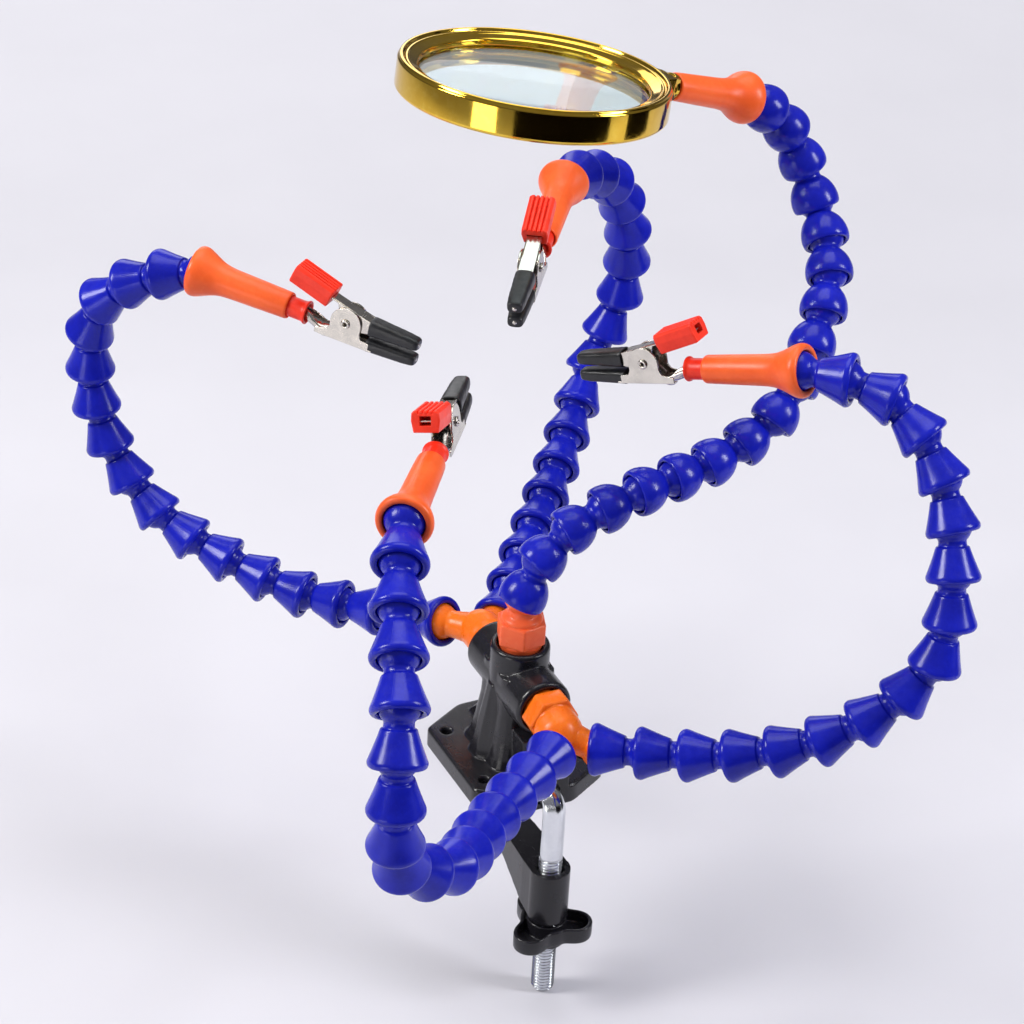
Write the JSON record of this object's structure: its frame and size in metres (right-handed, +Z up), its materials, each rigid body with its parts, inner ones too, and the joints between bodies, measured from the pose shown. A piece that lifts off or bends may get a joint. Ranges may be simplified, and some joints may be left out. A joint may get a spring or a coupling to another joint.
{
  "type": "helping hands clamp",
  "caption": "Bench clamp with jointed hose arms that hold sprung jaw clips and a framed round magnifying lens over the work.",
  "frame": {"origin": "centre of the base bracket's underside, on the table top", "axes": "+X right along the table's front edge, +Y into the table, +Z up"},
  "size_m": [0.2445, 0.2924, 0.3086],
  "materials": {
    "blue_acetal": "moulded acetal, semi-gloss",
    "orange_connector": "moulded acetal, semi-gloss",
    "coral_connector": "moulded acetal, satin",
    "nozzle_orange": "moulded acetal, satin",
    "black_nylon": "moulded nylon, satin",
    "zinc_steel": "bright zinc plate",
    "nickel_steel": "nickel plated sheet",
    "red_vinyl": "soft vinyl, satin",
    "gold_plate": "polished gold-coloured plate",
    "lens_glass": "clear polished"
  },
  "bodies": {
    "base": {"base_bracket": "black_nylon", "clamp_rod": "zinc_steel", "top_connector": "coral_connector", "front_y_connector": "orange_connector", "back_y_connector": "orange_connector"},
    "jaw": {"clamp_jaw": "black_nylon"},
    "knob": {"clamp_knob": "black_nylon", "knob_insert": "zinc_steel"},
    "left_section_1": {"left_hose_1": "blue_acetal"},
    "left_section_2": {"left_hose_2": "blue_acetal"},
    "left_section_3": {"left_hose_3": "blue_acetal"},
    "left_section_4": {"left_hose_4": "blue_acetal"},
    "left_nozzle_end": {"left_nozzle": "nozzle_orange"},
    "left_clip": {"left_clip_plug": "red_vinyl", "left_clip_lower_jaw": "nickel_steel", "left_clip_rivet": "nickel_steel", "left_clip_spring": "nickel_steel"},
    "left_clip_lever": {"left_clip_upper_jaw": "nickel_steel", "left_clip_grip": "red_vinyl"},
    "right_section_1": {"right_hose_1": "blue_acetal"},
    "right_section_2": {"right_hose_2": "blue_acetal"},
    "right_section_3": {"right_hose_3": "blue_acetal"},
    "right_section_4": {"right_hose_4": "blue_acetal"},
    "right_nozzle_end": {"right_nozzle": "nozzle_orange"},
    "right_clip": {"right_clip_plug": "red_vinyl", "right_clip_lower_jaw": "nickel_steel", "right_clip_rivet": "nickel_steel", "right_clip_spring": "nickel_steel"},
    "right_clip_lever": {"right_clip_upper_jaw": "nickel_steel", "right_clip_grip": "red_vinyl"},
    "front_section_1": {"front_hose_1": "blue_acetal"},
    "front_section_2": {"front_hose_2": "blue_acetal"},
    "front_section_3": {"front_hose_3": "blue_acetal"},
    "front_section_4": {"front_hose_4": "blue_acetal"},
    "front_nozzle_end": {"front_nozzle": "nozzle_orange"},
    "front_clip": {"front_clip_plug": "red_vinyl", "front_clip_lower_jaw": "nickel_steel", "front_clip_rivet": "nickel_steel", "front_clip_spring": "nickel_steel"},
    "front_clip_lever": {"front_clip_upper_jaw": "nickel_steel", "front_clip_grip": "red_vinyl"},
    "back_section_1": {"back_hose_1": "blue_acetal"},
    "back_section_2": {"back_hose_2": "blue_acetal"},
    "back_section_3": {"back_hose_3": "blue_acetal"},
    "back_section_4": {"back_hose_4": "blue_acetal"},
    "back_nozzle_end": {"back_nozzle": "nozzle_orange"},
    "back_clip": {"back_clip_plug": "red_vinyl", "back_clip_lower_jaw": "nickel_steel", "back_clip_rivet": "nickel_steel", "back_clip_spring": "nickel_steel"},
    "back_clip_lever": {"back_clip_upper_jaw": "nickel_steel", "back_clip_grip": "red_vinyl"},
    "magnifier_section_1": {"magnifier_hose_1": "blue_acetal"},
    "magnifier_section_2": {"magnifier_hose_2": "blue_acetal"},
    "magnifier_section_3": {"magnifier_hose_3": "blue_acetal"},
    "magnifier_section_4": {"magnifier_hose_4": "blue_acetal"},
    "magnifier_nozzle_end": {"magnifier_nozzle": "nozzle_orange"},
    "magnifier_head": {"magnifier_frame": "gold_plate", "magnifier_lens": "lens_glass", "magnifier_retaining_ring": "gold_plate"}
  },
  "joints": [
    {"name": "jaw_slide", "type": "slide", "parent": "base", "child": "jaw", "axis": [0, 0, 1], "range_m": [-0.0201, 0.0181]},
    {"name": "knob_spin", "type": "hinge", "parent": "jaw", "child": "knob", "pos_m": [-0.001, -0.033, -0.0492], "axis": [0, 0, 1], "range_deg": [-5760, 5040]},
    {"name": "left_ball_1", "type": "hinge", "parent": "base", "child": "left_section_1", "pos_m": [-0.01, 0.042, 0.033], "axis": [0.7868, 0.1392, -0.6013], "range_deg": [-20.5, 20.5]},
    {"name": "left_ball_2", "type": "hinge", "parent": "left_section_1", "child": "left_section_2", "pos_m": [-0.04113, 0.09115, 0.02201], "axis": [-0.7451, -0.6491, -0.1533], "range_deg": [-17.5, 38]},
    {"name": "left_ball_3", "type": "hinge", "parent": "left_section_2", "child": "left_section_3", "pos_m": [-0.0795, 0.1325, 0.041], "axis": [0.6839, -0.25, 0.6854], "range_deg": [-24.5, 24.5]},
    {"name": "left_ball_4", "type": "hinge", "parent": "left_section_3", "child": "left_section_4", "pos_m": [-0.0955, 0.154, 0.09204], "axis": [0.9289, 0.3654, 0.0611], "range_deg": [-40, 15.5]},
    {"name": "left_nozzle_ball", "type": "hinge", "parent": "left_section_4", "child": "left_nozzle_end", "pos_m": [-0.06784, 0.11625, 0.14116], "axis": [0.0505, -0.1514, 0.9872], "range_deg": [-13.5, 13.5]},
    {"name": "left_clip_swivel", "type": "hinge", "parent": "left_nozzle_end", "child": "left_clip", "pos_m": [-0.04577, 0.0922, 0.13634], "axis": [0.669, -0.7288, -0.146], "continuous": true},
    {"name": "left_clip_jaw", "type": "hinge", "parent": "left_clip", "child": "left_clip_lever", "pos_m": [-0.0311, 0.07653, 0.136], "axis": [-0.7274, -0.6823, 0.0727], "range_deg": [-2.5, 12]},
    {"name": "right_ball_1", "type": "hinge", "parent": "base", "child": "right_section_1", "pos_m": [0.0105, -0.0405, 0.0285], "axis": [0.2395, 0.4535, 0.8585], "range_deg": [-24.5, 24.5]},
    {"name": "right_ball_2", "type": "hinge", "parent": "right_section_1", "child": "right_section_2", "pos_m": [0.05555, -0.07754, 0.04103], "axis": [-0.6813, -0.4618, 0.568], "range_deg": [-35.5, 20]},
    {"name": "right_ball_3", "type": "hinge", "parent": "right_section_2", "child": "right_section_3", "pos_m": [0.10041, -0.09627, 0.09249], "axis": [0.6914, -0.7141, 0.1091], "range_deg": [-25, 25]},
    {"name": "right_ball_4", "type": "hinge", "parent": "right_section_3", "child": "right_section_4", "pos_m": [0.10354, -0.07767, 0.13278], "axis": [-0.4529, -0.7404, 0.4966], "range_deg": [-41.5, 14]},
    {"name": "right_nozzle_ball", "type": "hinge", "parent": "right_section_4", "child": "right_nozzle_end", "pos_m": [0.07355, -0.03606, 0.15501], "axis": [0.6087, 0.1241, -0.7836], "range_deg": [-21.5, 21.5]},
    {"name": "right_clip_swivel", "type": "hinge", "parent": "right_nozzle_end", "child": "right_clip", "pos_m": [0.05591, -0.00986, 0.14545], "axis": [-0.5346, 0.7939, -0.2896], "continuous": true},
    {"name": "right_clip_jaw", "type": "hinge", "parent": "right_clip", "child": "right_clip_lever", "pos_m": [0.04408, 0.0077, 0.14197], "axis": [0.8295, 0.5586, 0], "range_deg": [-2.5, 12]},
    {"name": "front_ball_1", "type": "hinge", "parent": "base", "child": "front_section_1", "pos_m": [-0.0085, -0.041, 0.031], "axis": [-0.621, 0.7833, -0.0265], "range_deg": [-25, 25]},
    {"name": "front_ball_2", "type": "hinge", "parent": "front_section_1", "child": "front_section_2", "pos_m": [-0.05286, -0.08036, 0.03895], "axis": [0.3746, -0.5883, -0.7167], "range_deg": [-22.5, 33]},
    {"name": "front_ball_3", "type": "hinge", "parent": "front_section_2", "child": "front_section_3", "pos_m": [-0.09821, -0.1187, 0.07796], "axis": [0.7384, 0.6532, 0.1676], "range_deg": [-23, 23]},
    {"name": "front_ball_4", "type": "hinge", "parent": "front_section_3", "child": "front_section_4", "pos_m": [-0.09174, -0.10248, 0.13086], "axis": [0.899, -0.4287, 0.0893], "range_deg": [-17, 38.5]},
    {"name": "front_nozzle_ball", "type": "hinge", "parent": "front_section_4", "child": "front_nozzle_end", "pos_m": [-0.07421, -0.06604, 0.15011], "axis": [-0.294, 0.2251, 0.9289], "range_deg": [-19.5, 19.5]},
    {"name": "front_clip_swivel", "type": "hinge", "parent": "front_nozzle_end", "child": "front_clip", "pos_m": [-0.05437, -0.03966, 0.15], "axis": [0.6011, 0.7992, -0.0034], "continuous": true},
    {"name": "front_clip_jaw", "type": "hinge", "parent": "front_clip", "child": "front_clip_lever", "pos_m": [-0.04193, -0.02238, 0.15269], "axis": [0.7895, -0.5931, 0.1579], "range_deg": [-2.5, 12]},
    {"name": "back_ball_1", "type": "hinge", "parent": "base", "child": "back_section_1", "pos_m": [0.012, 0.04, 0.032], "axis": [0.3825, -0.0278, -0.9235], "range_deg": [-14.5, 14.5]},
    {"name": "back_ball_2", "type": "hinge", "parent": "back_section_1", "child": "back_section_2", "pos_m": [0.05042, 0.08341, 0.04746], "axis": [-0.7798, 0.6112, 0.1355], "range_deg": [-26.5, 29]},
    {"name": "back_ball_3", "type": "hinge", "parent": "back_section_2", "child": "back_section_3", "pos_m": [0.09408, 0.12732, 0.08453], "axis": [-0.6497, -0.7227, 0.2357], "range_deg": [-22.5, 22.5]},
    {"name": "back_ball_4", "type": "hinge", "parent": "back_section_3", "child": "back_section_4", "pos_m": [0.09099, 0.11777, 0.14122], "axis": [0.5421, -0.8402, -0.0096], "range_deg": [-24, 13]},
    {"name": "back_nozzle_ball", "type": "hinge", "parent": "back_section_4", "child": "back_nozzle_end", "pos_m": [0.05058, 0.08599, 0.1682], "axis": [0.445, -0.1874, -0.8757], "range_deg": [-18.5, 18.5]},
    {"name": "back_clip_swivel", "type": "hinge", "parent": "back_nozzle_end", "child": "back_clip", "pos_m": [0.03082, 0.05994, 0.16373], "axis": [-0.5988, -0.7894, -0.1353], "continuous": true},
    {"name": "back_clip_jaw", "type": "hinge", "parent": "back_clip", "child": "back_clip_lever", "pos_m": [0.01776, 0.04291, 0.16362], "axis": [-0.7931, 0.6079, -0.037], "range_deg": [-2.5, 12]},
    {"name": "magnifier_ball_1", "type": "hinge", "parent": "base", "child": "magnifier_section_1", "pos_m": [0, 0, 0.0665], "axis": [0.9032, -0.0007, -0.4292], "range_deg": [-12, 12]},
    {"name": "magnifier_ball_2", "type": "hinge", "parent": "magnifier_section_1", "child": "magnifier_section_2", "pos_m": [0.04144, -0.00002, 0.09735], "axis": [-0.1343, 0.8713, 0.4719], "range_deg": [-38, 17.5]},
    {"name": "magnifier_ball_3", "type": "hinge", "parent": "magnifier_section_2", "child": "magnifier_section_3", "pos_m": [0.1019, 0.00793, 0.12209], "axis": [0.7666, -0.5709, -0.2939], "range_deg": [-26, 26]},
    {"name": "magnifier_ball_4", "type": "hinge", "parent": "magnifier_section_3", "child": "magnifier_section_4", "pos_m": [0.12641, 0.03808, 0.1584], "axis": [-0.2027, 0.6282, -0.7512], "range_deg": [-17, 38.5]},
    {"name": "magnifier_nozzle_ball", "type": "hinge", "parent": "magnifier_section_4", "child": "magnifier_nozzle_end", "pos_m": [0.09821, 0.05355, 0.20688], "axis": [-0.3665, 0.1641, -0.9158], "range_deg": [-25.5, 25.5]},
    {"name": "magnifier_swivel", "type": "hinge", "parent": "magnifier_nozzle_end", "child": "magnifier_head", "pos_m": [0.06779, 0.04706, 0.2179], "axis": [-0.922, -0.1965, 0.3337], "range_deg": [-60, 40]}
  ],
  "couplings": [
    {"joint": "jaw_slide", "follows": "knob_spin", "m_per_rad": 0.00019894}
  ]
}
